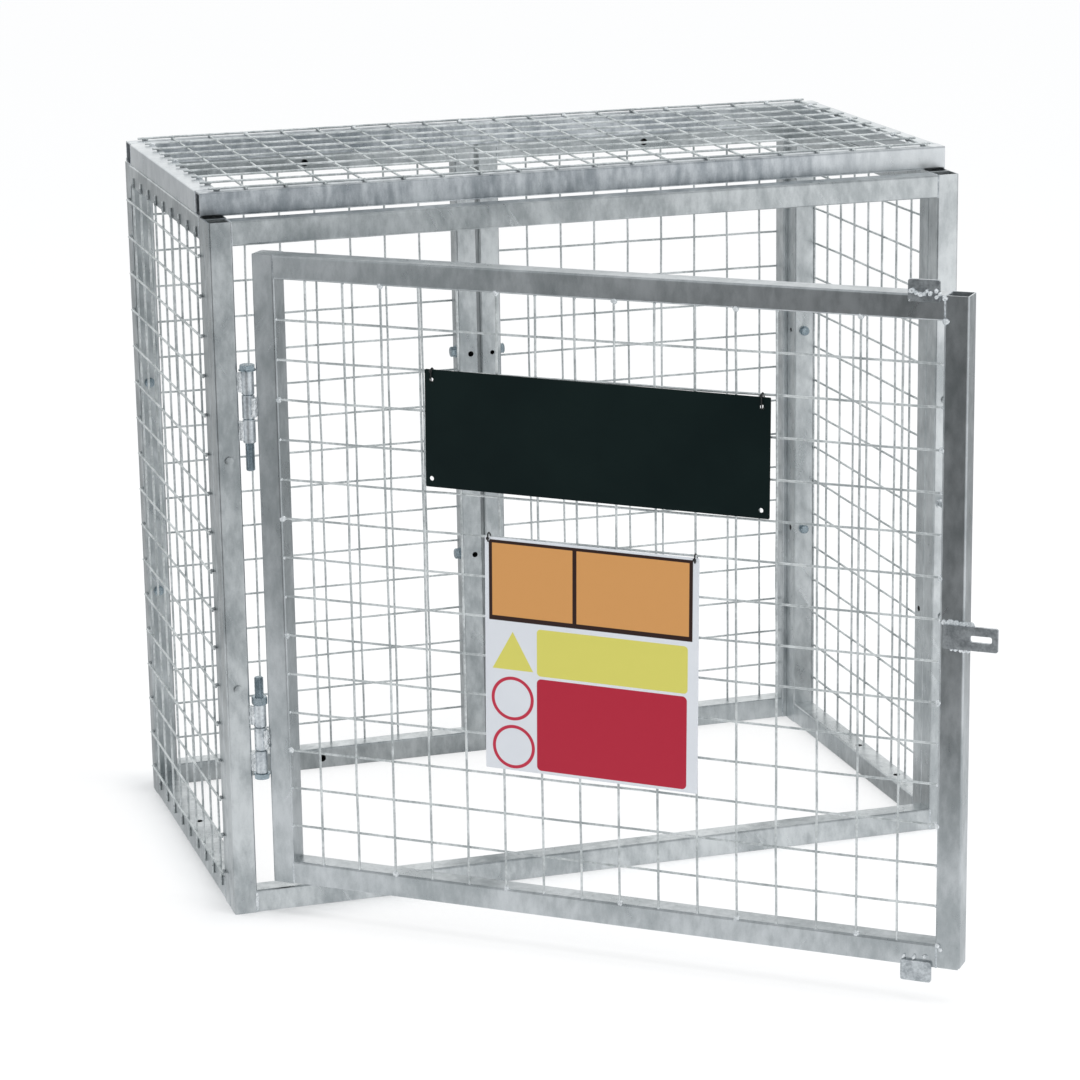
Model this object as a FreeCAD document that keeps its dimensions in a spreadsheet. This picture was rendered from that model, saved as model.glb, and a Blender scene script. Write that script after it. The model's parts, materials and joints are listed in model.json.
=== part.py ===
import FreeCAD, Part
import os
import re

DOC = FreeCAD.newDocument("gas_cylinder_cage")
SHEET = DOC.addObject("Spreadsheet::Sheet", "Sizes")

# Driving sizes, in millimetres and degrees.
SIZES = {
    # The cage and its square tube
    "cage_width": 1000,
    "cage_depth": 572,
    "cage_height": 903,
    "tube_side": 30,
    "tube_wall": 2,
    # The two back panels stand side by side, inside the cage's width
    "back_inset": 7,
    "back_gap": 4,
    # The roof frame lies on the side panels
    "roof_inset": 46,
    # Welded mesh
    "wire_side": 3,
    "mesh_pitch": 50.8,
    "mesh_lap": 15,
    # First upright wire and lowest row of each mesh, from its frame's low edges
    "left_first_wire": 44,
    "left_first_row": 41.2,
    "right_first_wire": 27.7,
    "right_first_row": 65,
    "back_left_first_wire": 60.6,
    "back_left_first_row": 59.6,
    "back_right_first_wire": 29.8,
    "back_right_first_row": 24.8,
    "roof_first_wire": 62.5,
    "door_first_wire": 71.6,
    "door_first_row": 78,
    # The door and the gaps round it
    "door_angle": 39.5,
    "hinge_gap": 11,
    "hinge_forward": 5,
    "door_lock_gap": 6,
    "door_floor_gap": 15,
    "door_head_gap": 9,
    # Hinges
    "knuckle_radius": 8,
    "knuckle_length": 30,
    "knuckle_play": 1,
    "hinge_bolt_radius": 6,
    "hinge_fit": 0.05,
    "weld_back": 2,
    "weld_width": 6,
    "upper_hinge_level": 625,
    "lower_hinge_level": 191,
    "hinge_bolt_tail": 36,
    "bolt_head_radius": 10.4,
    "bolt_head_height": 7.5,
    "nut_height": 10,
    # Hasp, its eye on the post, and the stops
    "hasp_length": 66,
    "hasp_height": 29,
    "hasp_reach": 41,
    "hasp_thickness": 4,
    "hasp_level": 461,
    "slot_length": 26,
    "slot_height": 8,
    "slot_end_margin": 7,
    "eye_width": 20,
    "eye_thickness": 5,
    "eye_reach": 34,
    "eye_hole_radius": 5,
    "stop_width": 38,
    "stop_reach": 18,
    "stop_lap": 8,
    "stop_thickness": 4,
    "stop_from_lock_edge": 34,
    # Boards hung on the door
    "name_board_width": 443,
    "name_board_height": 147,
    "name_board_offset": 231,
    "name_board_drop": 278,
    "sign_width": 278,
    "sign_height": 299,
    "sign_offset": 305,
    "sign_below_name_board": 54,
    "board_thickness": 2.5,
}
for row, (alias, value) in enumerate(SIZES.items(), start=1):
    SHEET.set(f"A{row}", alias)
    SHEET.set(f"B{row}", str(value))
    SHEET.setAlias(f"B{row}", alias)

# Sizes that follow from the driving ones.
DERIVED = {
    "half_width": "cage_width / 2",
    "front_face": "-tube_side / 2",
    "back_face": "front_face + cage_depth",
    "rail_level": "cage_height - tube_side",
    "side_front": "front_face + tube_side",
    "side_back": "back_face - tube_side",
    "side_length": "side_back - side_front",
    "clear_height": "cage_height - 2 * tube_side",
    "back_width": "half_width - back_inset - back_gap / 2",
    "roof_front": "front_face + roof_inset",
    "roof_depth": "cage_depth - 2 * roof_inset",
    "opening_width": "cage_width - 2 * tube_side",
    "hinge_x": "tube_side + hinge_gap - half_width",
    "hinge_y": "front_face - hinge_forward",
    "door_width": "opening_width - 2 * hinge_gap - door_lock_gap",
    "door_height": "clear_height - door_floor_gap - door_head_gap",
    "door_bottom": "tube_side + door_floor_gap",
    "door_top": "door_bottom + door_height",
    "lock_edge": "hinge_gap + door_width",
    "name_board_level": "door_top - name_board_drop",
    "sign_level": "name_board_level - sign_below_name_board - sign_height",
    "knuckle_step": "knuckle_length + knuckle_play",
    "hinge_height": "3 * knuckle_length + 2 * knuckle_play",
}


def cell(text):
    """An expression with each size's name read from the sheet."""
    return re.sub(r"[a-z_]+", lambda m: "Sizes." + m.group(0) if m.group(0) in KNOWN else m.group(0), str(text))


KNOWN = set(SIZES)
for row, (alias, formula) in enumerate(DERIVED.items(), start=len(SIZES) + 1):
    SHEET.set(f"A{row}", alias)
    SHEET.set(f"B{row}", "=" + formula)
    SHEET.setAlias(f"B{row}", alias)
    KNOWN.add(alias)
    DOC.recompute()

PARTS = []


def size(alias):
    """A size's value, for pieces that Part's own functions make."""
    return float(getattr(SHEET, alias))


def bind(obj, **formulas):
    for name, formula in formulas.items():
        obj.setExpression(name.replace("_", "."), cell(formula))


def box(name, corner, sizes):
    """A block from its low corner and its three sizes, all as expressions."""
    block = DOC.addObject("Part::Box", name)
    bind(block, Length=sizes[0], Width=sizes[1], Height=sizes[2])
    bind(block, Placement_Base_x=corner[0], Placement_Base_y=corner[1], Placement_Base_z=corner[2])
    return block


def rod(name, centre, radius, height):
    """An upright round bar from the centre of its foot."""
    bar = DOC.addObject("Part::Cylinder", name)
    bind(bar, Radius=radius, Height=height)
    bind(bar, Placement_Base_x=centre[0], Placement_Base_y=centre[1], Placement_Base_z=centre[2])
    return bar


def cut(name, base, tool):
    result = DOC.addObject("Part::Cut", name)
    result.Base = base
    result.Tool = tool
    return result


def fuse(name, pieces):
    result = DOC.addObject("Part::MultiFuse", name)
    result.Shapes = pieces
    return result


def group(name, pieces):
    result = DOC.addObject("Part::Compound", name)
    result.Links = pieces
    return result


def keep(obj, label, on_door=False):
    """Name a finished sub-part, and hang the door's ones on the hinge axis."""
    obj.Label = label
    if on_door:
        bind(obj, Placement_Base_x="hinge_x", Placement_Base_y="hinge_y")
        obj.Placement.Rotation = FreeCAD.Rotation(FreeCAD.Vector(0, 0, -1), size("door_angle"))
        bind(obj, Placement_Rotation_Angle="door_angle")
    PARTS.append(obj)
    return obj


def tube(label, corner, length, along, on_door=False):
    """Square tube with open ends, from its low corner along one axis."""
    outer_sizes = ["tube_side"] * 3
    outer_sizes[along] = length
    inner_sizes = ["tube_side - 2 * tube_wall"] * 3
    inner_sizes[along] = f"{length} + 2 * tube_wall"
    inner_corner = [f"{value} + tube_wall" for value in corner]
    inner_corner[along] = f"{corner[along]} - tube_wall"
    outer = box(label + "_outside", corner, outer_sizes)
    inner = box(label + "_bore", inner_corner, inner_sizes)
    return keep(cut(label + "_tube", outer, inner), label, on_door)


def spread(first, last, pitch):
    """Positions from first on, one pitch apart, none past last."""
    count = int((last - first) / pitch + 1e-6) + 1
    return [first + pitch * step for step in range(count)]


def bar(origin, sizes):
    return Part.makeBox(*sizes, FreeCAD.Vector(*origin))


def lattice(label, place, near, far, rows, columns, on_door=False):
    """Two layers of square wire, welded where they cross.

    place turns (across, up, depth) and a size into a block; near and far are
    the (low, high) reach of the rows and of the columns.
    """
    wire = size("wire_side")
    bars = [place(near[0], level - wire / 2, wire, near[1] - near[0], wire, wire) for level in rows]
    bars += [place(across - wire / 2, far[0], 0, wire, far[1] - far[0], wire) for across in columns]
    piece = DOC.addObject("Part::Feature", label + "_wires")
    piece.Shape = bars[0].multiFuse(bars[1:])
    return keep(piece, label, on_door)


# Front frame: two posts with a rail between them at the top and the bottom.
tube("front_left_post", ["-half_width", "front_face", "0"], "cage_height", 2)
tube("front_right_post", ["half_width - tube_side", "front_face", "0"], "cage_height", 2)
tube("front_top_rail", ["tube_side - half_width", "front_face", "rail_level"], "opening_width", 0)
tube("front_bottom_rail", ["tube_side - half_width", "front_face", "0"], "opening_width", 0)

# Side panels: full-height stiles, with the rails between them.
for side, edge in (("left", "-half_width"), ("right", "half_width - tube_side")):
    rail_length = "side_length - 2 * tube_side"
    tube(f"{side}_front_stile", [edge, "side_front", "0"], "cage_height", 2)
    tube(f"{side}_back_stile", [edge, "side_back - tube_side", "0"], "cage_height", 2)
    tube(f"{side}_top_rail", [edge, "side_front + tube_side", "rail_level"], rail_length, 1)
    tube(f"{side}_bottom_rail", [edge, "side_front + tube_side", "0"], rail_length, 1)

# Back: two panels side by side.
for side, edge in (("left", "back_inset - half_width"), ("right", "back_gap / 2")):
    panel = f"back_{side}"
    far_edge = f"{edge} + back_width - tube_side"
    rail_start = f"{edge} + tube_side"
    rail_length = "back_width - 2 * tube_side"
    names = ("outer", "inner") if side == "left" else ("inner", "outer")
    tube(f"{panel}_{names[0]}_stile", [edge, "side_back", "0"], "cage_height", 2)
    tube(f"{panel}_{names[1]}_stile", [far_edge, "side_back", "0"], "cage_height", 2)
    tube(f"{panel}_top_rail", [rail_start, "side_back", "rail_level"], rail_length, 0)
    tube(f"{panel}_bottom_rail", [rail_start, "side_back", "0"], rail_length, 0)

# Roof frame: long rails with open ends, and short rails between them.
tube("roof_front_rail", ["-half_width", "roof_front", "cage_height"], "cage_width", 0)
tube("roof_back_rail", ["-half_width", "roof_front + roof_depth - tube_side", "cage_height"], "cage_width", 0)
short_rail = "roof_depth - 2 * tube_side"
tube("roof_left_rail", ["-half_width", "roof_front + tube_side", "cage_height"], short_rail, 1)
tube("roof_right_rail", ["half_width - tube_side", "roof_front + tube_side", "cage_height"], short_rail, 1)

# Door, drawn shut with the hinge axis at its origin, then swung open.
tube("door_hinge_stile", ["hinge_gap", "0", "door_bottom"], "door_height", 2, True)
tube("door_lock_stile", ["lock_edge - tube_side", "0", "door_bottom"], "door_height", 2, True)
door_rail = "door_width - 2 * tube_side"
tube("door_top_rail", ["hinge_gap + tube_side", "0", "door_top - tube_side"], door_rail, 0, True)
tube("door_bottom_rail", ["hinge_gap + tube_side", "0", "door_bottom"], door_rail, 0, True)

# Mesh of the side panels, on the outer faces.
HALF_WIDTH = size("half_width")
LAP = size("mesh_lap")
PITCH = size("mesh_pitch")
WIRE = size("wire_side")
TUBE = size("tube_side")
HEIGHT = size("cage_height")
SIDE_FRONT = size("side_front")
SIDE_BACK = size("side_back")
wall_reach = (TUBE - LAP, HEIGHT - TUBE + LAP)
for side, sign in (("left", -1), ("right", 1)):
    reach = (SIDE_FRONT + TUBE - LAP, SIDE_BACK - TUBE + LAP)
    columns = spread(SIDE_FRONT + size(f"{side}_first_wire"), reach[1] - WIRE, PITCH)
    rows = spread(size(f"{side}_first_row"), wall_reach[1] - WIRE, PITCH)

    def outside(across, up, depth, length, tall, thick, sign=sign):
        low = HALF_WIDTH + WIRE - depth
        start = low if sign > 0 else -low - thick
        return bar((start, across, up), (thick, length, tall))

    lattice(f"{side}_mesh", outside, reach, wall_reach, rows, columns)

# Mesh of the back panels, on the outer face.
BACK = size("back_face")
for side, edge in (("left", size("back_inset") - HALF_WIDTH), ("right", size("back_gap") / 2)):
    end = edge + size("back_width")
    reach = (edge + TUBE - LAP, end - TUBE + LAP)
    columns = spread(edge + size(f"back_{side}_first_wire"), reach[1] - WIRE, PITCH)
    rows = spread(size(f"back_{side}_first_row"), wall_reach[1] - WIRE, PITCH)

    def behind(across, up, depth, length, tall, thick):
        return bar((across, BACK + WIRE - depth, up), (length, thick, tall))

    lattice(f"back_{side}_mesh", behind, reach, wall_reach, rows, columns)


# Mesh of the roof, on top of its frame: the long wires lie over the short ones.
def on_top(across, up, depth, length, tall, thick):
    return bar((across, up, HEIGHT + TUBE + depth), (length, tall, thick))


roof_front = size("roof_front")
roof_back = roof_front + size("roof_depth")
roof_rows = spread(roof_front + LAP, roof_back - LAP / 2, PITCH)
roof_columns = spread(size("roof_first_wire") - HALF_WIDTH, HALF_WIDTH - LAP - WIRE, PITCH)
roof_reach = (LAP - HALF_WIDTH, HALF_WIDTH - LAP)
roof_across = (roof_front + LAP / 2, roof_back - LAP / 3)
lattice("roof_mesh", on_top, roof_reach, roof_across, roof_rows, roof_columns)


# Mesh of the door, inside its frame and flush with the front.
def in_door(across, up, depth, length, tall, thick):
    return bar((across, depth, up), (length, thick, tall))


door_left = size("hinge_gap") + TUBE
door_right = size("lock_edge") - TUBE
door_low = size("door_bottom") + TUBE
door_high = size("door_top") - TUBE
door_columns = spread(size("hinge_gap") + size("door_first_wire"), door_right - WIRE, PITCH)
door_rows = spread(size("door_bottom") + size("door_first_row"), door_high - WIRE, PITCH)
lattice("door_mesh", in_door, (door_left, door_right), (door_low, door_high), door_rows, door_columns, True)

# Hinges: the outer knuckles on the post, the middle one on the door, a bolt through all three.
def knuckle(name, axis, height, lug_corner):
    """A bored sleeve with its weld to the tube beside it."""
    sleeve = rod(name + "_sleeve", (*axis, height), "knuckle_radius", "knuckle_length")
    weld = box(name + "_weld", (*lug_corner, height), ("hinge_gap", "weld_width", "knuckle_length"))
    whole = fuse(name + "_blank", [sleeve, weld])
    bore_start = f"{height} - knuckle_play"
    bore_length = "knuckle_length + 2 * knuckle_play"
    bore = rod(name + "_hole", (*axis, bore_start), "hinge_bolt_radius + hinge_fit", bore_length)
    return cut(name, whole, bore)


def hexagon(name, height, thickness):
    prism = DOC.addObject("Part::Prism", name)
    prism.Polygon = 6
    bind(prism, Circumradius="bolt_head_radius", Height=thickness)
    bind(prism, Placement_Base_x="hinge_x", Placement_Base_y="hinge_y", Placement_Base_z=height)
    return prism


HINGE_AXIS = ("hinge_x", "hinge_y")
post_knuckles = []
door_knuckles = []
for hinge in ("upper", "lower"):
    level = f"{hinge}_hinge_level"
    for place, height in (("low", level), ("high", f"{level} + 2 * knuckle_step")):
        corner = ("tube_side - half_width", "hinge_y + weld_back")
        post_knuckles.append(knuckle(f"{hinge}_{place}_knuckle", HINGE_AXIS, height, corner))
    middle = f"{level} + knuckle_step"
    door_knuckles.append(knuckle(f"{hinge}_middle_knuckle", ("0", "0"), middle, ("0", "0")))
    # The upper bolt hangs from its head as a loose pin, and the lower one stands on its head under a nut.
    hangs = hinge == "upper"
    stack_top = f"{level} + hinge_height"
    head_level = stack_top if hangs else f"{level} - bolt_head_height"
    shank_level = f"{level} - hinge_bolt_tail" if hangs else level
    shank_length = "hinge_height + hinge_bolt_tail"
    shank = rod(f"{hinge}_shank", (*HINGE_AXIS, shank_level), "hinge_bolt_radius", shank_length)
    bolt_pieces = [shank, hexagon(f"{hinge}_head", head_level, "bolt_head_height")]
    if not hangs:
        bolt_pieces.append(hexagon(f"{hinge}_nut", stack_top, "nut_height"))
    keep(fuse(f"{hinge}_bolt_set", bolt_pieces), f"{hinge}_hinge_bolt")
keep(group("post_knuckle_set", post_knuckles), "post_hinge_knuckles")
keep(group("door_knuckle_set", door_knuckles), "door_hinge_knuckles", True)

# Hasp: a slotted strap on the door's lock stile, and the eye on the post that comes through it.
hasp_blank = box(
    "hasp_blank",
    ("lock_edge + hasp_reach - hasp_length", "-hasp_thickness", "hasp_level - hasp_height / 2"),
    ("hasp_length", "hasp_thickness", "hasp_height"),
)
hasp_slot = box(
    "hasp_slot",
    (
        "lock_edge + hasp_reach - slot_end_margin - slot_length",
        "-2 * hasp_thickness",
        "hasp_level - slot_height / 2",
    ),
    ("slot_length", "3 * hasp_thickness", "slot_height"),
)
keep(cut("hasp_strap", hasp_blank, hasp_slot), "hasp_plate", True)

eye_middle = "hinge_x + lock_edge + hasp_reach - slot_end_margin - slot_length / 2"
eye_blank = box(
    "eye_blank",
    (f"{eye_middle} - eye_width / 2", "front_face - eye_reach", "hasp_level - eye_thickness / 2"),
    ("eye_width", "eye_reach", "eye_thickness"),
)
eye_hole = rod(
    "eye_hole",
    (eye_middle, "front_face - eye_reach + 2 * eye_hole_radius", "hasp_level - eye_thickness"),
    "eye_hole_radius",
    "2 * eye_thickness",
)
keep(cut("eye_lug", eye_blank, eye_hole), "hasp_eye")

# Stops on the door: each laps over a rail of the front frame when the door shuts.
stop_start = "lock_edge - stop_from_lock_edge - stop_width"
stop_sizes = ("stop_width", "stop_thickness", "stop_lap + stop_reach")
upper_stop = box("upper_stop", (stop_start, "-stop_thickness", "door_top - stop_lap"), stop_sizes)
lower_stop = box("lower_stop", (stop_start, "-stop_thickness", "door_bottom - stop_reach"), stop_sizes)
keep(group("stop_set", [upper_stop, lower_stop]), "door_stops", True)

# Boards tied to the front of the door's mesh.
name_board = box(
    "name_board_sheet",
    ("hinge_gap + name_board_offset", "-board_thickness", "name_board_level"),
    ("name_board_width", "board_thickness", "name_board_height"),
)
keep(group("name_board_hung", [name_board]), "name_board", True)
sign_board = box(
    "sign_board_sheet",
    ("hinge_gap + sign_offset", "-board_thickness", "sign_level"),
    ("sign_width", "board_thickness", "sign_height"),
)
keep(group("sign_board_hung", [sign_board]), "sign_board", True)

DOC.recompute()
for obj in DOC.Objects:
    if "Invalid" in obj.State or "Error" in obj.State:
        raise RuntimeError(f"{obj.Label} failed")
for obj in PARTS:
    if obj.Shape.isNull() or not obj.Shape.isValid():
        raise RuntimeError(f"{obj.Label} has no valid shape")

os.makedirs("parts", exist_ok=True)
for obj in PARTS:
    obj.Shape.exportStep(f"parts/{obj.Label}.step")
    print(obj.Label, len(obj.Shape.Solids), round(obj.Shape.Volume))
print(len(PARTS), "sub-parts")
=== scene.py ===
import json
import random
from math import cos, pi, radians, sin, tan

import bmesh
import bpy
from mathutils import Matrix, Vector


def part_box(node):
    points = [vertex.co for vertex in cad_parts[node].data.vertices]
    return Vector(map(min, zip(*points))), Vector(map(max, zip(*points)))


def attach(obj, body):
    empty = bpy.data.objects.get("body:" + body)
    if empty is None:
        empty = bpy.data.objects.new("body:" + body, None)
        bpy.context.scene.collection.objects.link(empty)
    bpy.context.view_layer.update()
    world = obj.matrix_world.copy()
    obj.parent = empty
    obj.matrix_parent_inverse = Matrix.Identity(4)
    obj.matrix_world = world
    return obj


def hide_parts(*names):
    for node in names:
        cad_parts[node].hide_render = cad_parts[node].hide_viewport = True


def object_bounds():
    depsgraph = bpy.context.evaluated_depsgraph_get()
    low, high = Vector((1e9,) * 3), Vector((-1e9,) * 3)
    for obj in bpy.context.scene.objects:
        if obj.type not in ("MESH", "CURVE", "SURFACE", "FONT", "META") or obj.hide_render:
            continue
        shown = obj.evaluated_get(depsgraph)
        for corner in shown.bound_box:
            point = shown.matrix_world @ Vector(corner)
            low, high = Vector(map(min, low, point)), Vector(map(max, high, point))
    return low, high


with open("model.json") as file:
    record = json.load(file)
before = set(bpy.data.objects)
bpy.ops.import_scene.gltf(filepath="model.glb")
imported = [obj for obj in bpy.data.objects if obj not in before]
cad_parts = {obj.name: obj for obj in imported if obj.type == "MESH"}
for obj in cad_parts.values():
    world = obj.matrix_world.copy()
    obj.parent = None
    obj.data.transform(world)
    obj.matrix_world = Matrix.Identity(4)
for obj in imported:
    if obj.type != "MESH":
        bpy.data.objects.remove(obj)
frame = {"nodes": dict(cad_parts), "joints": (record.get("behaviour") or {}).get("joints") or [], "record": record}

CAD_BOUNDS = [list(corner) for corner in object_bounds()]
MM = 0.001


def mm(*values):
    """Lengths given in millimetres, in metres."""
    return tuple(value * MM for value in values)


# The door is drawn shut, with the hinge axis at the origin, and then swung to where it stands.
HINGE = frame["joints"][0]
AXIS_FOOT = Vector((HINGE["pos_m"][0], HINGE["pos_m"][1], 0))
DOOR_ANGLE = radians(-HINGE["range_deg"][0])
SWING = Matrix.Translation(AXIS_FOOT) @ Matrix.Rotation(-DOOR_ANGLE, 4, "Z")
STILL = Matrix.Identity(4)
BODY_PLACE = {"cage": STILL, "door": SWING}
BODY_OF = {name: body for body, names in frame["record"]["behaviour"]["bodies"].items() for name in names}


def node_points(name):
    """The vertices of a CAD node, in the door's own frame if it hangs on the door."""
    back = BODY_PLACE[BODY_OF[name]].inverted()
    return [back @ vertex.co for vertex in frame["nodes"][name].data.vertices]


def node_box(name):
    """Low and high corner of a CAD node, in the same frame."""
    points = node_points(name)
    low = Vector([min(point[axis] for point in points) for axis in range(3)])
    high = Vector([max(point[axis] for point in points) for axis in range(3)])
    return low, high


# Shader maths


class Signal:
    """A shader value: Python's operators on it add Math nodes."""

    def __init__(self, paint, socket):
        self.paint = paint
        self.socket = socket

    def maths(self, operation, *others):
        return self.paint.node("Math", {"operation": operation}, self, *others)

    def __add__(self, other):
        return self.maths("ADD", other)

    __radd__ = __add__

    def __sub__(self, other):
        return self.maths("SUBTRACT", other)

    def __rsub__(self, other):
        return self.paint.node("Math", {"operation": "SUBTRACT"}, other, self)

    def __mul__(self, other):
        return self.maths("MULTIPLY", other)

    __rmul__ = __mul__

    def __truediv__(self, other):
        return self.maths("DIVIDE", other)

    def __abs__(self):
        return self.maths("ABSOLUTE")

    def at_least(self, other):
        return self.maths("MAXIMUM", other)

    def at_most(self, other):
        return self.maths("MINIMUM", other)

    def root(self):
        return self.maths("SQRT")

    def eased(self, low, high):
        """From 0 at low to 1 at high, with soft ends."""
        settings = {"interpolation_type": "SMOOTHSTEP", "clamp": True}
        return self.paint.node("MapRange", settings, self, low, high, 0.0, 1.0)


class Paint:
    """A material whose nodes are made one call at a time."""

    def __init__(self, name, world=None):
        self.material = world or bpy.data.materials.new(name)
        self.material.use_nodes = True
        self.tree = self.material.node_tree
        self.tree.nodes.clear()

    def feed(self, socket, value):
        if isinstance(value, Signal):
            self.tree.links.new(value.socket, socket)
        else:
            socket.default_value = value

    def node(self, kind, settings=None, *values, output=0, **named):
        made = self.tree.nodes.new("ShaderNode" + kind)
        for key, value in (settings or {}).items():
            setattr(made, key, value)
        for socket, value in zip(made.inputs, values):
            self.feed(socket, value)
        for key, value in named.items():
            self.feed(made.inputs[key.replace("_", " ")], value)
        return Signal(self, made.outputs[output])

    def place(self, turn=(0, 0, 0), shift=(0, 0, 0), stretch=(1, 1, 1), of=None):
        """The piece's own coordinates, or others, stretched, turned and moved."""
        here = of or self.node("TexCoord", output=3)
        return self.node("Mapping", {}, here, shift, turn, stretch)

    def noise(self, at, scale, detail=3.0, rough=0.5):
        return self.node("TexNoise", Vector=at, Scale=scale, Detail=detail, Roughness=rough)

    def blend(self, share, first, second):
        made = self.tree.nodes.new("ShaderNodeMix")
        made.data_type = "RGBA"
        self.feed(made.inputs[0], share)
        self.feed(made.inputs[6], first)
        self.feed(made.inputs[7], second)
        return Signal(self, made.outputs[2])

    def bump(self, height, depth, strength):
        return self.node("Bump", Height=height, Distance=depth, Strength=strength)

    def axes(self, here):
        """The three coordinates of a place."""
        parts = self.tree.nodes.new("ShaderNodeSeparateXYZ")
        self.feed(parts.inputs[0], here)
        return [Signal(self, socket) for socket in parts.outputs]

    def dot(self, first, second):
        return self.node("VectorMath", {"operation": "DOT_PRODUCT"}, first, second, output=1)

    def show(self, shader, kind="Material"):
        output = self.tree.nodes.new("ShaderNodeOutput" + kind)
        self.tree.links.new(shader.socket, output.inputs["Surface"])
        return self.material

    def finish(self, **sockets):
        return self.show(self.node("BsdfPrincipled", **sockets))


def rgb(red, green, blue):
    """A colour written as it shows on a screen, from 0 to 255."""
    return tuple((value / 255 / 12.92 if value < 11 else ((value / 255 + 0.055) / 1.055) ** 2.4)
                 for value in (red, green, blue)) + (1.0,)


STREAK_TONE = rgb(236, 240, 242)
RIGHT_REFLECTION_TONE = rgb(240, 243, 244)
# Where along X a painted reflection makes the zinc lighter towards the right end.
RIGHT_REFLECTION_SPAN = (0.26, 0.46)


def galvanised(name, dark, light, turn, lean, bands, band_share, streak_share, right_reflection=0.0):
    """Hot-dip zinc: clouds, upright mottling, slanting bands where the bath ran off, thin streaks, and a painted
    reflection that lightens it towards the right end.
    """
    paint = Paint(name)
    here = paint.place((0, 0, turn))
    slanted = paint.place((0, lean, 0), of=here)
    clouds = paint.noise(here, 11, 4, 0.55)
    mottle = paint.noise(paint.place(stretch=(1, 1, 0.4), of=here), 105, 4, 0.6)
    runs = paint.noise(paint.place(stretch=(1, 1, 0.16), of=slanted), bands)
    lines = paint.noise(paint.place(stretch=(1, 1, 0.07), of=slanted), 150, 2)
    patches = paint.noise(here, 7, 2)
    grain = paint.noise(here, 520, 2, 0.6)
    streaks = lines.eased(0.58, 0.8) * patches.eased(0.48, 0.65)
    run_share = patches.eased(0.35, 0.6)
    banded = runs * run_share + clouds * (1 - run_share)
    tone = clouds * (0.7 - band_share) + banded * band_share + mottle * 0.3 + (grain - 0.5) * 0.07
    colour = paint.blend(tone.eased(0.36, 0.66), dark, light)
    colour = paint.blend(streaks * streak_share, colour, STREAK_TONE)
    # Painted reflection: the zinc turns lighter towards the right end, where a bright part of the room shows in
    # it.
    colour = paint.blend(paint.axes(here)[0].eased(*RIGHT_REFLECTION_SPAN) * right_reflection, colour, RIGHT_REFLECTION_TONE)
    rough = 0.19 + clouds * 0.12 + mottle * 0.1 - streaks * 0.08
    normal = paint.bump(runs * 0.35 + clouds * 0.7 + mottle * 0.22 + grain * 0.06, 0.0009, 0.5)
    return paint.finish(Base_Color=colour, Roughness=rough, Metallic=0.94, Normal=normal)


def coat(name, tones, clouds, grain, shares, ease, rough, relief, turn=0.0, **shine):
    """A plain coat: two tones mixed by clouds and grain, and a grain that stands out a little."""
    paint = Paint(name)
    here = paint.place((0, 0, turn))
    cloudy = paint.noise(here, *clouds)
    grainy = paint.noise(here, *grain)
    mixed = cloudy * shares[0] + grainy * shares[1]
    colour = paint.blend(mixed.eased(*ease) if ease else mixed, *tones)
    normal = paint.bump(grainy, *relief)
    return paint.finish(Base_Color=colour, Roughness=rough[0] + cloudy * rough[1], Normal=normal, **shine)


def bright_metal(name, dark, light, rough, grain_scale, metal=0.8):
    """Weld metal and plated fasteners: clean, with a fine grain."""
    return coat(
        name, (dark, light), (60,), (grain_scale, 3, 0.6), (0.5, 0.5), (0.35, 0.65), (rough, 0.12),
        (0.0004, 0.5), Metallic=metal)


FRAME_LEAN = radians(30)
DOOR_LEAN = radians(-35)
ROOF_LEAN = 0.05
# The last number of the frame's and the roof's zinc is how much painted reflection lightens their right ends.
FRAME_ZINC = galvanised(
    "galvanised_frame", rgb(164, 170, 172), rgb(220, 224, 225), 0, FRAME_LEAN, 42, 0.35, 0.25, 0.15)
DOOR_ZINC = galvanised(
    "galvanised_door", rgb(168, 174, 176), rgb(212, 216, 218), DOOR_ANGLE, DOOR_LEAN, 40, 0.25, 0.25)
ROOF_ZINC = galvanised(
    "galvanised_roof", rgb(156, 163, 169), rgb(232, 236, 239), 0, ROOF_LEAN, 60, 0.5, 0.25, 0.6)
# The roof's side rails: the roof's zinc in lighter tones, painted light for how brightly they show.
ROOF_SIDE_PAINTED_LIGHT = galvanised(
    "galvanised_roof_side_painted_light", rgb(206, 211, 214), rgb(236, 239, 241), 0, ROOF_LEAN, 40, 0.1, 0.1)
WIRE_ZINC = coat(
    "galvanised_wire", (rgb(172, 178, 179), rgb(226, 230, 230)), (26, 4, 0.6), (240, 2), (0.7, 0.3),
    (0.35, 0.65), (0.36, 0.2), (0.0005, 0.6), Metallic=0.6)
SEAM_ZINC = bright_metal("seam_zinc", rgb(176, 183, 187), rgb(228, 232, 235), 0.3, 420)
WELD_ZINC = bright_metal("weld_zinc", rgb(186, 192, 195), rgb(236, 239, 241), 0.2, 420, 0.45)
# Dark weld metal for the wire ends, its darkness partly painted shade where the ends sit over the rails.
WELD_AND_SHADE = bright_metal("weld_with_painted_shade", rgb(126, 131, 133), rgb(176, 181, 183), 0.4, 330, 0.3)
PLATED = bright_metal("bright_zinc_plate", rgb(126, 141, 149), rgb(184, 197, 204), 0.2, 900)
SLEEVE_ZINC = bright_metal("galvanised_sleeve", rgb(186, 193, 198), rgb(232, 237, 240), 0.24, 260, 0.75)
PLATE_ZINC = bright_metal("galvanised_plate", rgb(160, 166, 170), rgb(212, 217, 220), 0.26, 260, 0.88)
BOARD_GREEN = coat(
    "dark_green_board", (rgb(2, 21, 21), rgb(6, 26, 25)), (9,), (900, 2), (1, 0), (0.3, 0.7), (0.42, 0.15),
    (0.0002, 0.35), DOOR_ANGLE, Specular_IOR_Level=0.16)
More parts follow.
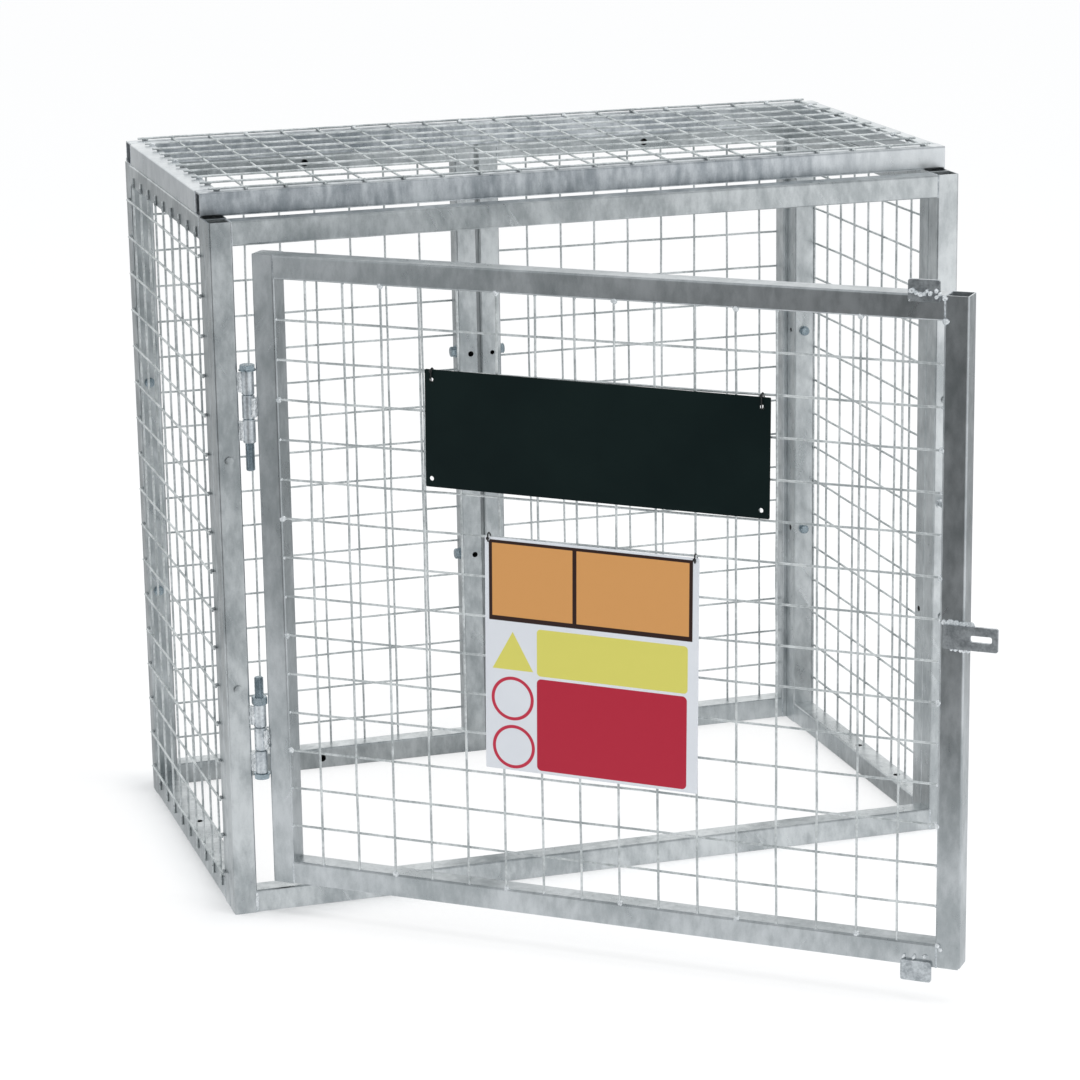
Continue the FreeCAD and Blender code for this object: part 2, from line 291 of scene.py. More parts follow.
TIE_BLACK = coat(
    "black_tie", (rgb(18, 18, 19), rgb(34, 34, 35)), (9,), (700, 2), (0, 1), None, (0.45, 0), (0.0002, 0.4))
BOARD_TILT = {"name_board": radians(-0.64), "sign_board": radians(-0.79)}
SIGN_LOW, SIGN_HIGH = node_box("sign_board")
SIGN_MIDDLE = (SIGN_LOW + SIGN_HIGH) / 2
SIGN_HALF = (SIGN_HIGH - SIGN_LOW) / 2
ORANGE = rgb(200, 144, 84)
YELLOW = rgb(204, 198, 97)
RING_RED = rgb(182, 42, 66)
SHEET_TONES = (rgb(203, 206, 212), rgb(213, 216, 220))
# The sign's plain fields, in millimetres from its upper left corner: middle, half sizes, corner radius, ink.
SIGN_FIELDS = (
    ((138, 56), (132.7, 51), 1, rgb(48, 30, 26)),
    ((62.5, 55), (52.9, 46), 0.5, ORANGE),
    ((193.4, 55), (72.7, 46), 0.5, ORANGE),
    ((166.7, 143.3), (98.3, 30), 5, YELLOW),
    ((166.3, 236), (98, 59.2), 6, rgb(170, 30, 53)),
)
RING_MIDDLES = ((36, 206), (37.3, 268.3))
RING_RADIUS = 28.2
RING_WIDTH = 4.2
TRIANGLE_TOP = (36.5, 120)
TRIANGLE_HEIGHT = 49
TRIANGLE_SLOPE = 1.81
PRINT_EDGE = 0.35


def printed_sign():
    paint = Paint("printed_sign")
    unswung = paint.place((0, 0, DOOR_ANGLE), -(Matrix.Rotation(DOOR_ANGLE, 3, "Z") @ AXIS_FOOT))
    centred = paint.place(shift=-SIGN_MIDDLE, of=unswung)
    here = paint.place((0, BOARD_TILT["sign_board"], 0), of=centred)
    side, _, height = paint.axes(here)
    across = (side + SIGN_HALF.x) / MM
    down = (SIGN_HALF.z - height) / MM

    def patch(middle, half, radius):
        beyond = [(abs(value - centre) - (reach - radius)).at_least(0.0)
                  for value, centre, reach in zip((across, down), middle, half)]
        reach = (beyond[0] * beyond[0] + beyond[1] * beyond[1]).root()
        return 1 - reach.eased(radius - PRINT_EDGE, radius + PRINT_EDGE)

    clouds = paint.noise(here, 12)
    colour = paint.blend(clouds, *SHEET_TONES)
    for middle, half, radius, ink in SIGN_FIELDS:
        colour = paint.blend(patch(middle, half, radius), colour, ink)
    hole = RING_RADIUS - RING_WIDTH
    for middle in RING_MIDDLES:
        ring = patch(middle, (RING_RADIUS,) * 2, RING_RADIUS) - patch(middle, (hole,) * 2, hole)
        colour = paint.blend(ring, colour, RING_RED)
    fall = down - TRIANGLE_TOP[1]
    inside = (fall - abs(across - TRIANGLE_TOP[0]) * TRIANGLE_SLOPE).at_most(TRIANGLE_HEIGHT - fall)
    colour = paint.blend(inside.eased(-PRINT_EDGE, PRINT_EDGE), colour, YELLOW)
    normal = paint.bump(paint.noise(here, 600, 2), 0.0001, 0.3)
    rough = 0.32 + clouds * 0.1
    return paint.finish(Base_Color=colour, Roughness=rough, Specular_IOR_Level=0.25, Normal=normal)


SIGN_PRINT = printed_sign()
SIGN_BACK = coat(
    "sign_back", SHEET_TONES, (12,), (600, 2), (1, 0), None, (0.4, 0.1), (0.0001, 0.0),
    Specular_IOR_Level=0.25)

# Mesh making


def settle(piece):
    """Make what the modifiers show the piece's own mesh."""
    bpy.context.view_layer.update()
    shown = piece.evaluated_get(bpy.context.evaluated_depsgraph_get())
    settled = bpy.data.meshes.new_from_object(shown)
    piece.modifiers.clear()
    piece.data = settled
    settled.name = piece.name


def mesh_from(work, name, body="cage"):
    """End the mesh work, drawn in its body's own frame, and set it where the body stands."""
    data = bpy.data.meshes.new(name)
    work.to_mesh(data)
    work.free()
    data.transform(BODY_PLACE[body])
    return data


def shade(data, sharp_over):
    for polygon in data.polygons:
        polygon.use_smooth = True
    data.set_sharp_from_angle(angle=radians(sharp_over))


def dress(piece, body, slot, *nodes):
    """Hang a finished piece on its body and hide the CAD nodes that it stands for; its slot is not used."""
    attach(piece, body)
    for node in nodes:
        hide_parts(node)
    return piece


def put(name, data):
    piece = bpy.data.objects.new(name, data)
    bpy.context.scene.collection.objects.link(piece)
    return piece


EASED_OVER = radians(40)


def from_work(name, work, node, material, bevel=0.0, sharp_over=40, holes=(), slot="galvanised_steel"):
    """The piece that stands for a CAD node, from mesh work, with its edges eased and its holes bored."""
    body = BODY_OF[node]
    data = mesh_from(work, name, body)
    data.materials.append(material)
    piece = put(name, data)
    cutters = []
    for middle, direction, radius, depth in holes:
        cutter_work = bmesh.new()
        place = Matrix.Translation(middle) @ Vector(direction).to_track_quat("Z", "Y").to_matrix().to_4x4()
        bmesh.ops.create_cone(
            cutter_work, cap_ends=True, segments=24, radius1=radius, radius2=radius, depth=depth,
            matrix=place)
        cutters.append(put("cutter", mesh_from(cutter_work, "cutter", body)))
        bore = piece.modifiers.new("bore", "BOOLEAN")
        bore.operation = "DIFFERENCE"
        bore.object = cutters[-1]
    if bevel:
        eased = piece.modifiers.new("eased_edges", "BEVEL")
        eased.width = bevel
        eased.segments = 2
        eased.limit_method = "ANGLE"
        eased.angle_limit = EASED_OVER
    settle(piece)
    shade(piece.data, sharp_over)
    piece.modifiers.new("even_faces", "WEIGHTED_NORMAL").keep_sharp = True
    settle(piece)
    for cutter in cutters:
        bpy.data.objects.remove(cutter)
    return dress(piece, body, slot, node)


def rounded_outline(half_x, half_y, radius, steps=4):
    """Points round a rectangle with rounded corners, anticlockwise."""
    points = []
    for corner, (side_x, side_y) in enumerate(((1, 1), (-1, 1), (-1, -1), (1, -1))):
        for step in range(steps + 1):
            angle = radians(90 * corner + 90 * step / steps)
            points.append((side_x * (half_x - radius) + radius * cos(angle),
                           side_y * (half_y - radius) + radius * sin(angle)))
    return points


def shifted(points, x, y):
    return [(point[0] + x, point[1] + y) for point in points]


def ring_faces(work, first, second):
    count = len(first)
    for index in range(count):
        following = (index + 1) % count
        work.faces.new((first[index], first[following], second[following], second[index]))


def solid_outline(work, outline, low, high, place, hole=None, closed_foot=False, closed_top=False):
    """A plate or tube: an outline, with a matching hole if it has one, between two levels."""
    def loop(points, level):
        return [work.verts.new(place @ Vector((x, y, level))) for x, y in points]

    foot = loop(outline, low)
    top = loop(outline, high)
    ring_faces(work, foot, top)
    if hole is None:
        work.faces.new(reversed(foot))
        work.faces.new(top)
        return
    inner_foot = loop(hole, low + (TUBE_WALL if closed_foot else 0))
    inner_top = loop(hole, high - (TUBE_WALL if closed_top else 0))
    ring_faces(work, inner_top, inner_foot)
    if closed_top:
        work.faces.new(top)
        work.faces.new(reversed(inner_top))
    else:
        ring_faces(work, top, inner_top)
    if closed_foot:
        work.faces.new(reversed(foot))
        work.faces.new(inner_foot)
    else:
        ring_faces(work, inner_foot, foot)


def turned(work, rings, place, sides=48, open_ends=False):
    """A skin over rings round Z: each a radius and a level, or a function that gives both from an angle."""
    loops = []
    for ring in rings:
        loop = []
        for index in range(sides):
            angle = 2 * pi * index / sides
            radius, level = ring(angle) if callable(ring) else ring
            spot = Vector((radius * cos(angle), radius * sin(angle), level))
            loop.append(work.verts.new(place @ spot))
        loops.append(loop)
    for first, second in zip(loops, loops[1:]):
        ring_faces(work, first, second)
    if open_ends:
        ring_faces(work, loops[-1], loops[0])
    else:
        work.faces.new(reversed(loops[0]))
        work.faces.new(loops[-1])


def hexagon_rings(low, high, corner_radius, ease_low, ease_high):
    """A hexagon head or nut, with its corners turned off at the ends that ask for it."""
    flat = corner_radius * cos(pi / 6)

    def ring(level, side):
        def at(angle):
            radius = flat / cos(angle % (pi / 3) - pi / 6)
            return radius, level - side * max(0, radius - flat * 0.98) * tan(pi / 6)
        return at

    rings = [(flat * 0.95, low), ring(low, -1)] if ease_low else [ring(low, 0)]
    return rings + ([ring(high, 1), (flat * 0.95, high)] if ease_high else [ring(high, 0)])


THREAD_PITCH = 1.75 * MM
THREAD_DEPTH = 0.95 * MM
THREAD_STEPS = 8


def thread_rings(low, high, radius, end_high):
    """A screw thread between two levels, turned down at its free end."""
    count = round((high - low) / THREAD_PITCH * THREAD_STEPS)
    free = high if end_high else low

    def ring(level):
        def at(angle):
            turn = (level / THREAD_PITCH - angle / (2 * pi)) % 1
            ridge = radius - THREAD_DEPTH * abs(2 * turn - 1)
            return min(ridge, radius - 1.6 * MM + abs(free - level) * 1.2), level
        return at

    return [ring(low + (high - low) * step / count) for step in range(count + 1)]


# Square tubes

# Turns that lay a tube drawn along Z along X, along Y, or leave it upright.
ROUND = Matrix(((0, 0, 1, 0), (1, 0, 0, 0), (0, 1, 0, 0), (0, 0, 0, 1)))
AXIS_TURN = (ROUND, ROUND @ ROUND, STILL)
TUBE_RADIUS = 2.8 * MM
TUBE_WALL = 2 * MM
FOOT_ROUNDING = 4.5 * MM
VENT = 5 * MM
BOLT_HOLE = 4 * MM
SMALL_HOLE = BOLT_HOLE * 0.8
BACK_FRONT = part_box("back_left_top_rail")[0].y
UPPER_BOLTS = 0.598
LOWER_BOLTS = 0.299
SIDE_MIDDLE = 0.485
BORE_DEPTH = 8 * MM
TUBE_ZINC = {
    "roof_front_rail": ROOF_ZINC, "roof_back_rail": ROOF_ZINC,
    "roof_left_rail": ROOF_SIDE_PAINTED_LIGHT, "roof_right_rail": ROOF_SIDE_PAINTED_LIGHT,
}
BACK = (0, 1, 0)
UP = (0, 0, 1)
RIGHT = (1, 0, 0)
# Vents and bolt holes: the tube, where on its face, which way the hole runs, and its radius.
TUBE_HOLES = (
    ("back_left_top_rail", (-0.248, BACK_FRONT, 0.885), BACK, VENT),
    ("back_right_top_rail", (0.25, BACK_FRONT, 0.885), BACK, VENT),
    ("back_left_bottom_rail", (-0.25, BACK_FRONT, 0.015), BACK, VENT),
    ("back_right_bottom_rail", (0.25, BACK_FRONT, 0.015), BACK, VENT),
    ("left_bottom_rail", (-SIDE_MIDDLE, 0.276, 0.03), UP, VENT),
    ("right_bottom_rail", (SIDE_MIDDLE, 0.276, 0.03), UP, VENT),
    ("right_bottom_rail", (SIDE_MIDDLE, 0.135, 0.03), UP, VENT),
    ("back_left_inner_stile", (-0.0135, BACK_FRONT, UPPER_BOLTS - 0.002), BACK, BOLT_HOLE),
    ("back_left_inner_stile", (-0.0135, BACK_FRONT, LOWER_BOLTS), BACK, BOLT_HOLE),
    ("back_right_inner_stile", (0.0185, BACK_FRONT, UPPER_BOLTS - 0.002), BACK, SMALL_HOLE),
    ("back_right_inner_stile", (0.0185, BACK_FRONT, LOWER_BOLTS), BACK, BOLT_HOLE),
    ("right_front_stile", (0.47, 0.03, 0.303), RIGHT, BOLT_HOLE),
    ("right_back_stile", (0.47, 0.512, UPPER_BOLTS), RIGHT, SMALL_HOLE),
    ("right_back_stile", (0.47, 0.512, LOWER_BOLTS), RIGHT, BOLT_HOLE),
)


def square_tube(name):
    """One tube of a frame, with rounded corners and open ends, in its CAD node's place."""
    low, high = node_box(name)
    sizes = high - low
    along = max(range(3), key=lambda axis: sizes[axis])
    middle = (low + high) / 2
    middle[along] = low[along]
    half_x = sizes[(1, 2, 0)[along]] / 2
    half_y = sizes[(2, 0, 1)[along]] / 2
    outline = rounded_outline(half_x, half_y, TUBE_RADIUS)
    bore = rounded_outline(half_x - TUBE_WALL, half_y - TUBE_WALL, TUBE_RADIUS - TUBE_WALL)
    capped = name == "door_lock_stile"
    lidded = name == "door_hinge_stile"
    work = bmesh.new()
    place = Matrix.Translation(middle) @ AXIS_TURN[along]
    solid_outline(work, outline, 0, sizes[along], place, bore, capped, lidded)
    if capped:
        foot = [edge for edge in work.edges
                if all(vert.co.z < low.z + 0.1 * MM for vert in edge.verts) and edge.is_manifold]
        bmesh.ops.bevel(work, geom=foot, offset=FOOT_ROUNDING, segments=5, affect="EDGES", clamp_overlap=True)
    material = TUBE_ZINC.get(name, DOOR_ZINC if BODY_OF[name] == "door" else FRAME_ZINC)
    holes = [(*hole, BORE_DEPTH) for tube, *hole in TUBE_HOLES if tube == name]
    from_work(name + "_tube", work, name, material, holes=holes)


TUBE_NAMES = [name for name in frame["nodes"] if name.rsplit("_", 1)[-1] in ("post", "rail", "stile")]
for tube_name in TUBE_NAMES:
    square_tube(tube_name)

# Geometry Nodes


class Tree:
    """A Geometry Nodes tree with named inputs."""

    def __init__(self, name, **kinds):
        self.group = bpy.data.node_groups.new(name, "GeometryNodeTree")
        new_socket = self.group.interface.new_socket
        new_socket("Geometry", in_out="OUTPUT", socket_type="NodeSocketGeometry")
        self.identifiers = {}
        for title, kind in (("Geometry", "Geometry"), *kinds.items()):
            socket = new_socket(title, in_out="INPUT", socket_type="NodeSocket" + kind)
            self.identifiers[title] = socket.identifier
        self.entry = self.group.nodes.new("NodeGroupInput")
        self.exit = self.group.nodes.new("NodeGroupOutput")

    def given(self, title):
        return self.entry.outputs[title]

    def node(self, kind, settings=None, output=0, **sockets):
        """A node: its settings first, then its sockets, named or as _0, _1 for their places."""
        made = self.group.nodes.new(kind)
        for key, value in (settings or {}).items():
            setattr(made, key, value)
        for key, value in sockets.items():
            socket = made.inputs[int(key[1:])] if key[1:].isdigit() else made.inputs[key.replace("_", " ")]
            for item in value if isinstance(value, list) else [value]:
                if isinstance(item, bpy.types.NodeSocket):
                    self.group.links.new(item, socket)
                else:
                    socket.default_value = item
        return made.outputs[output]

    def geo(self, kind, settings=None, **sockets):
        return self.node("GeometryNode" + kind, settings, **sockets)

    def xyz(self, **sides):
        return self.node("ShaderNodeCombineXYZ", **sides)

    def maths(self, operation, first, second, kind="Math"):
        return self.node("ShaderNode" + kind, {"operation": operation}, _0=first, _1=second)

    def attribute(self, name, kind):
        return self.geo("InputNamedAttribute", {"data_type": kind}, Name=name)

    def line(self, count, start, step):
        return self.geo("MeshLine", {"mode": "OFFSET"}, Count=count, Start_Location=start, Offset=step)

    def rod(self, curve, sides, radius):
        ring = self.geo("CurvePrimitiveCircle", Resolution=sides, Radius=radius)
        return self.geo("CurveToMesh", Curve=curve, Profile_Curve=ring, Fill_Caps=True)

    def roughen(self, geometry, scale, seed, reach):
        """Push every point about by a noise; reach is how far, along each axis."""
        place = self.geo("InputPosition")
        noise = self.node(
            "ShaderNodeTexNoise", {"noise_dimensions": "4D"}, output=1, Vector=place, W=seed, Scale=scale,
            Detail=1.0)
        noise = self.maths("SUBTRACT", noise, (0.5, 0.5, 0.5), "VectorMath")
        push = self.maths("MULTIPLY", noise, reach, "VectorMath")
        return self.geo("SetPosition", Geometry=geometry, Offset=push)

    def close(self, geometry, material):
        """Every tree ends in real geometry with its material."""
        real = self.geo("RealizeInstances", Geometry=geometry)
        coated = self.geo("SetMaterial", Geometry=real, Material=material)
        self.group.links.new(coated, self.exit.inputs[0])
        return self

    def run(self, name, data, body, slot="galvanised_steel", nodes=(), place=STILL, sharp_over=40, **values):
        """Run the tree on a mesh drawn in its body's own frame, and keep the result as one piece."""
        piece = put(name, data)
        modifier = piece.modifiers.new("tree", "NODES")
        modifier.node_group = self.group
        for title, value in values.items():
            modifier[self.identifiers[title]] = value
        settle(piece)
        place = BODY_PLACE[body] @ place
        piece.data.transform(place)
        if place.determinant() < 0:
            piece.data.flip_normals()
        shade(piece.data, sharp_over)
        return dress(piece, body, slot, *nodes)


WIRE_SIDES = 10
WIRE_POINTS = 24
WANDER = (0.0035, 0.0008, 0.0035)


def wire_layer(tree, count, start, step, length, turn):
    """Parallel round wires: one wire set out along a line of points."""
    line = tree.line(count, start, step)
    wire = tree.geo("CurvePrimitiveLine", End=tree.xyz(Z=length))
    wire = tree.geo("ResampleCurve", Curve=wire, Count=WIRE_POINTS)
    wire = tree.geo("Transform", Geometry=tree.rod(wire, WIRE_SIDES, tree.given("Radius")), Rotation=turn)
    return tree.geo("InstanceOnPoints", Points=line, Instance=wire)


def welded_mesh_tree():
    """Welded wire: upright wires and rows at even steps, slightly wavy, with a lump at each crossing."""
    measures = ("Pitch", "Upright_Low", "Upright_Length", "Row_Low", "Row_Length", "Upright_Depth",
                "Row_Depth", "Radius", "Lump", "Seed")
    tree = Tree("welded_mesh", Uprights="Int", Rows="Int", First="Vector", **dict.fromkeys(measures, "Float"))
    give = tree.given
    first = tree.node("ShaderNodeSeparateXYZ", Vector=give("First"))
    first_z = first.node.outputs[2]
    upright_start = tree.xyz(X=first, Y=give("Upright_Depth"), Z=give("Upright_Low"))
    row_start = tree.xyz(X=give("Row_Low"), Y=give("Row_Depth"), Z=first_z)
    step_x = tree.xyz(X=give("Pitch"))
    step_z = tree.xyz(Z=give("Pitch"))
    uprights = wire_layer(tree, give("Uprights"), upright_start, step_x, give("Upright_Length"), (0, 0, 0))
    rows = wire_layer(tree, give("Rows"), row_start, step_z, give("Row_Length"), (0, pi / 2, 0))
    # One lump at each crossing: a column of lumps set out along the row of uprights.
    lump = tree.geo("MeshIcoSphere", Radius=give("Lump"), Subdivisions=1)
    column_start = tree.xyz(Y=tree.maths("MULTIPLY", give("Radius"), 2.0), Z=first_z)
    lumps = tree.geo("InstanceOnPoints", Points=tree.line(give("Rows"), column_start, step_z), Instance=lump)
    line = tree.line(give("Uprights"), tree.xyz(X=first), step_x)
    crossings = tree.geo("InstanceOnPoints", Points=line, Instance=lumps)
    whole = tree.geo("JoinGeometry", Geometry=[uprights, rows, crossings])
    whole = tree.geo("RealizeInstances", Geometry=whole)
    return tree.close(tree.roughen(whole, 7.0, give("Seed"), WANDER), WIRE_ZINC)


def bead_tree(name, material, sides):
    """A weld bead or a strap: a rod along each line of the mesh, made uneven."""
    tree = Tree(name, Radius="Float", Step="Float", Unevenness="Vector", Ripple="Float", Seed="Float")
    give = tree.given
    line = tree.geo("MeshToCurve", Mesh=give("Geometry"))
    line = tree.geo("ResampleCurve", {"mode": "LENGTH"}, Curve=line, Length=give("Step"))
    rod = tree.rod(line, sides, give("Radius"))
    return tree.close(tree.roughen(rod, give("Ripple"), give("Seed"), give("Unevenness")), material)


def set_out(tree, shape):
    """Copies of a shape on the points, turned to each point's facing and swollen by its swell."""
    spin = tree.xyz(Z=tree.attribute("spin", "FLOAT"))
    facing = tree.attribute("facing", "FLOAT_VECTOR")
    turn = tree.node("FunctionNodeAlignRotationToVector", {"axis": "Z"}, Rotation=spin, Vector=facing)
    swell = tree.attribute("swell", "FLOAT_VECTOR")
    copies = tree.geo(
        "InstanceOnPoints", Points=tree.given("Geometry"), Instance=shape, Rotation=turn, Scale=swell)
    return tree.geo("RealizeInstances", Geometry=copies)


def blob_tree(name, material, rings):
    """Weld spots: uneven blobs on the points."""
    tree = Tree(name, Unevenness="Vector", Lumps="Float")
    blob = tree.geo("MeshUVSphere", Segments=2 * rings - 2, Rings=rings, Radius=1.0)
    whole = tree.roughen(set_out(tree, blob), tree.given("Lumps"), 0.0, tree.given("Unevenness"))
    return tree.close(whole, material)


# The rings of a panel bolt, washer first: height, low radius and high radius in millimetres, and sides.
PANEL_BOLT = ((1.6, 8.7, 8.7, 20), (5.3, 7.5, 7.5, 6), (0.9, 7.5, 6.3, 12))


def panel_bolt_tree(name, material):
    """Hexagon bolt heads on their washers."""
    tree = Tree(name)
    rings = []
    base = 0.0
    for height, low_radius, high_radius, sides in PANEL_BOLT:
        cone = tree.geo(
            "MeshCone", {"fill_type": "NGON"}, Vertices=sides, Radius_Top=high_radius * MM,
            Radius_Bottom=low_radius * MM, Depth=height * MM)
        rings.append(tree.geo("Transform", Geometry=cone, Translation=(0.0, 0.0, base)))
        base += height * MM
    return tree.close(set_out(tree, tree.geo("JoinGeometry", Geometry=rings)), material)


WELDED = welded_mesh_tree()
SEAMS = bead_tree("seam_welds", SEAM_ZINC, 8)
BEADS = bead_tree("bead_welds", WELD_ZINC, 10)
STRAPS = bead_tree("straps", TIE_BLACK, 8)
SPOTS = blob_tree("spot_welds", WELD_ZINC, 5)
BLOBS = blob_tree("blob_welds", WELD_ZINC, 12)
SHADED_WELD_SPOTS = blob_tree("shaded_spot_welds", WELD_AND_SHADE, 5)
KNOTS = blob_tree("tie_knots", TIE_BLACK, 7)
PANEL_BOLTS = panel_bolt_tree("panel_bolts", PLATED)
POST_HEADS = panel_bolt_tree("post_heads", FRAME_ZINC)


def lines_mesh(paths, closed=False):
    """A mesh of bare lines, one for each path."""
    points = []
    edges = []
    for path in paths:
        start = len(points)
        points.extend(path)
        edges.extend((start + step, start + step + 1) for step in range(len(path) - 1))
        if closed:
            edges.append((len(points) - 1, start))
    data = bpy.data.meshes.new("lines")
    data.from_pydata([tuple(point) for point in points], edges, [])
    return data


def points_mesh(spots):
    """A mesh of bare points, each a (place, facing, swell) and a turn of its own."""
    data = bpy.data.meshes.new("spots")
    data.from_pydata([tuple(spot[0]) for spot in spots], [], [])
    for title, kind in (("facing", "FLOAT_VECTOR"), ("swell", "FLOAT_VECTOR"), ("spin", "FLOAT")):
        data.attributes.new(title, kind, "POINT")
    facing, swell, spin = [data.attributes[title].data for title in ("facing", "swell", "spin")]
    chance = random.Random(7)
    for index, (place, direction, sizes) in enumerate(spots):
        facing[index].vector = direction
        swell[index].vector = sizes
        spin[index].value = chance.uniform(0, pi)
    return data


# Welded mesh panels


def distinct(values, gap):
    """Middles of the runs of numbers that lie close together."""
    runs = []
    for value in sorted(values):
        if runs and value - runs[-1][-1] < gap:
            runs[-1].append(value)
        else:
            runs.append([value])
    return [(run[0] + run[-1]) / 2 for run in runs]


def wires_of(name, axis, other):
    """Where the CAD's wires cross one axis, read from the vertices at their low ends."""
    points = node_points(name)
    low = min(point[other] for point in points)
    return distinct([point[axis] for point in points if point[other] < low + WIRE_SIDE / 2], WIRE_SIDE * 1.5)


WIRE_SIDE = 3 * MM
PITCH = 50.8 * MM
X, Y, Z = 0, 1, 2
# For each mesh: the axes along its rows, along its uprights and through it, and which way is out.
MESHES = {
    "left_mesh": (Y, Z, X, -1),
    "right_mesh": (Y, Z, X, 1),
    "back_left_mesh": (X, Z, Y, 1),
    "back_right_mesh": (X, Z, Y, 1),
    "roof_mesh": (X, Y, Z, 1),
    "door_mesh": (X, Z, Y, 1),
}
TRIM = 13 * MM
CROSSING_LUMP = 1.9 * MM
WIRES = {}


def welded_panel(name, seed):
    """A panel's wires, drawn with rows along X and uprights along Z, then set in place."""
    along, up, through, out = MESHES[name]
    low, high = node_box(name)
    uprights = wires_of(name, along, up)
    rows = wires_of(name, up, along)
    WIRES[name] = (uprights, rows, low, high)
    place = Matrix(((0,) * 4, (0,) * 4, (0,) * 4, (0, 0, 0, 1)))
    place[along][0] = 1
    place[up][2] = 1
    place[through][1] = out
    place[through][3] = high[through] if out < 0 else low[through]
    row_length = high[along] - low[along]
    if name in ("left_mesh", "right_mesh"):
        row_length -= TRIM
    # The roof's rows are drawn a little further into its uprights, close down on the rails.
    upright_depth, row_depth = mm(1.1, 2.9) if name == "roof_mesh" else mm(1.5, 4.2)
    WELDED.run(
        name.replace("mesh", "welded_wires"), bpy.data.meshes.new("wires"), BODY_OF[name], "mesh_wire",
        (name,), place, Uprights=len(uprights), Rows=len(rows), First=(uprights[0], 0, rows[0]), Pitch=PITCH,
        Upright_Low=low[up], Upright_Length=high[up] - low[up], Row_Low=low[along], Row_Length=row_length,
        Upright_Depth=upright_depth, Row_Depth=row_depth, Radius=WIRE_SIDE / 2, Lump=CROSSING_LUMP,
        Seed=float(seed))


for mesh_seed, mesh_name in enumerate(MESHES):
    welded_panel(mesh_name, mesh_seed)

# Weld seams where the rails meet the stiles


def end_loops(name):
    """The outline of a rail at each end, set back into the piece that it meets."""
    low, high = node_box(name)
    along = max(range(3), key=lambda axis: high[axis] - low[axis])
    first, second = [axis for axis in range(3) if axis != along]
    loops = []
    for level in (low[along] - SEAM_SINK, high[along] + SEAM_SINK):
        path = []
        for side_first, side_second in ((-1, -1), (1, -1), (1, 1), (-1, 1)):
            point = (low + high) / 2
            point[along] = level
            point[first] += side_first * ((high[first] - low[first]) / 2 - SEAM_DEPTH)
            point[second] += side_second * ((high[second] - low[second]) / 2 - SEAM_DEPTH)
            point.z = max(point.z, SEAM_FOOT)
            path.append(point)
        loops.append(path)
    return loops


SEAM_SINK = 1.0 * MM
SEAM_DEPTH = 1.5 * MM
SEAM_FOOT = 2.6 * MM
LONG_RAILS = ("roof_front_rail", "roof_back_rail")
BUTTED = [name for name in TUBE_NAMES if name.endswith("rail") and name not in LONG_RAILS]
for seam_body in BODY_PLACE:
    seam_loops = [loop for name in BUTTED if BODY_OF[name] == seam_body for loop in end_loops(name)]
    SEAMS.run(
        f"{seam_body}_seam_welds", lines_mesh(seam_loops, closed=True), seam_body,
        Radius=1.9 * MM, Step=1.6 * MM, Unevenness=mm(0.9, 0.9, 0.9), Ripple=330.0)

# Weld spots where the wires end on the frames


def wire_ends(name, rim):
    """Each wire end of a panel: its place at the frame's edge, the way out and whether it is a heavy weld."""
    along, up = MESHES[name][:2]
    uprights, rows, low, high = WIRES[name]
    ends = []
    for places, axis, other in ((uprights, along, up), (rows, up, along)):
        run = Vector([float(index == other) for index in range(3)])
        for index, place in enumerate(places):
            for end in (low[other] + rim, high[other] - rim):
                point = (low + high) / 2
                point[axis] = place
                point[other] = end
                ends.append((point, run, index % 3 == 2))
    return ends


OUTWARD = {"left_mesh": (-1, 0, 0), "right_mesh": (1, 0, 0), "roof_mesh": (0, 0, 1)}
# How far inside the frame's edge each panel's welds sit.
PANEL_RIM = 10 * MM
DOOR_RIM = 0.4 * MM
FOOT_RAILS = 30 * MM
cage_spots = []
shaded_weld_spots = []
# The roof's heavy welds are bright; every other wire end of the side, back and roof panels is a dark spot, weld
# with painted shade where it sits on its rail.
for spot_mesh in MESHES:
    if spot_mesh == "door_mesh":
        continue
    outward = Vector(OUTWARD.get(spot_mesh, BACK))
    for point, run, heavy in wire_ends(spot_mesh, PANEL_RIM):
        seat = point - outward * 1.6 * MM
        if outward.x and point.z < FOOT_RAILS:
            shaded_weld_spots.append((seat, run, mm(1.7, 1.7, 3.0)))
        elif spot_mesh == "roof_mesh" and heavy:
            cage_spots.append((seat, run, mm(3.0, 3.0, 4.6)))
        else:
            shaded_weld_spots.append((seat, run, mm(2.3, 2.3, 4.6)))
SPOTS.run("cage_wire_welds", points_mesh(cage_spots), "cage", Lumps=300.0, Unevenness=mm(1.6, 1.6, 1.6))
SHADED_WELD_SPOTS.run(
    "cage_shaded_wire_welds", points_mesh(shaded_weld_spots), "cage", Lumps=300.0, Unevenness=mm(1.2, 1.2, 1.2))

FRONT = (0, -1, 0)
small_spots = []
large_spots = []
for point, run, heavy in wire_ends("door_mesh", DOOR_RIM):
    if heavy:
        large_spots.append((point + Vector(mm(0, -1.0, 0)), FRONT, mm(3.8, 3.8, 3.4)))
    else:
        small_spots.append((point + Vector(mm(0, -0.6, 0)), FRONT, mm(2.0, 2.0, 2.2)))
SPOTS.run("door_wire_welds", points_mesh(small_spots), "door", Lumps=320.0, Unevenness=mm(1.2, 1.2, 1.2))

# Hasp, stops and the bigger welds of the door, in door coordinates: along the door, out of its face, up

PLATE_PLACE = Matrix(((1, 0, 0, 0), (0, 0, -1, 0), (0, 1, 0, 0), (0, 0, 0, 1)))


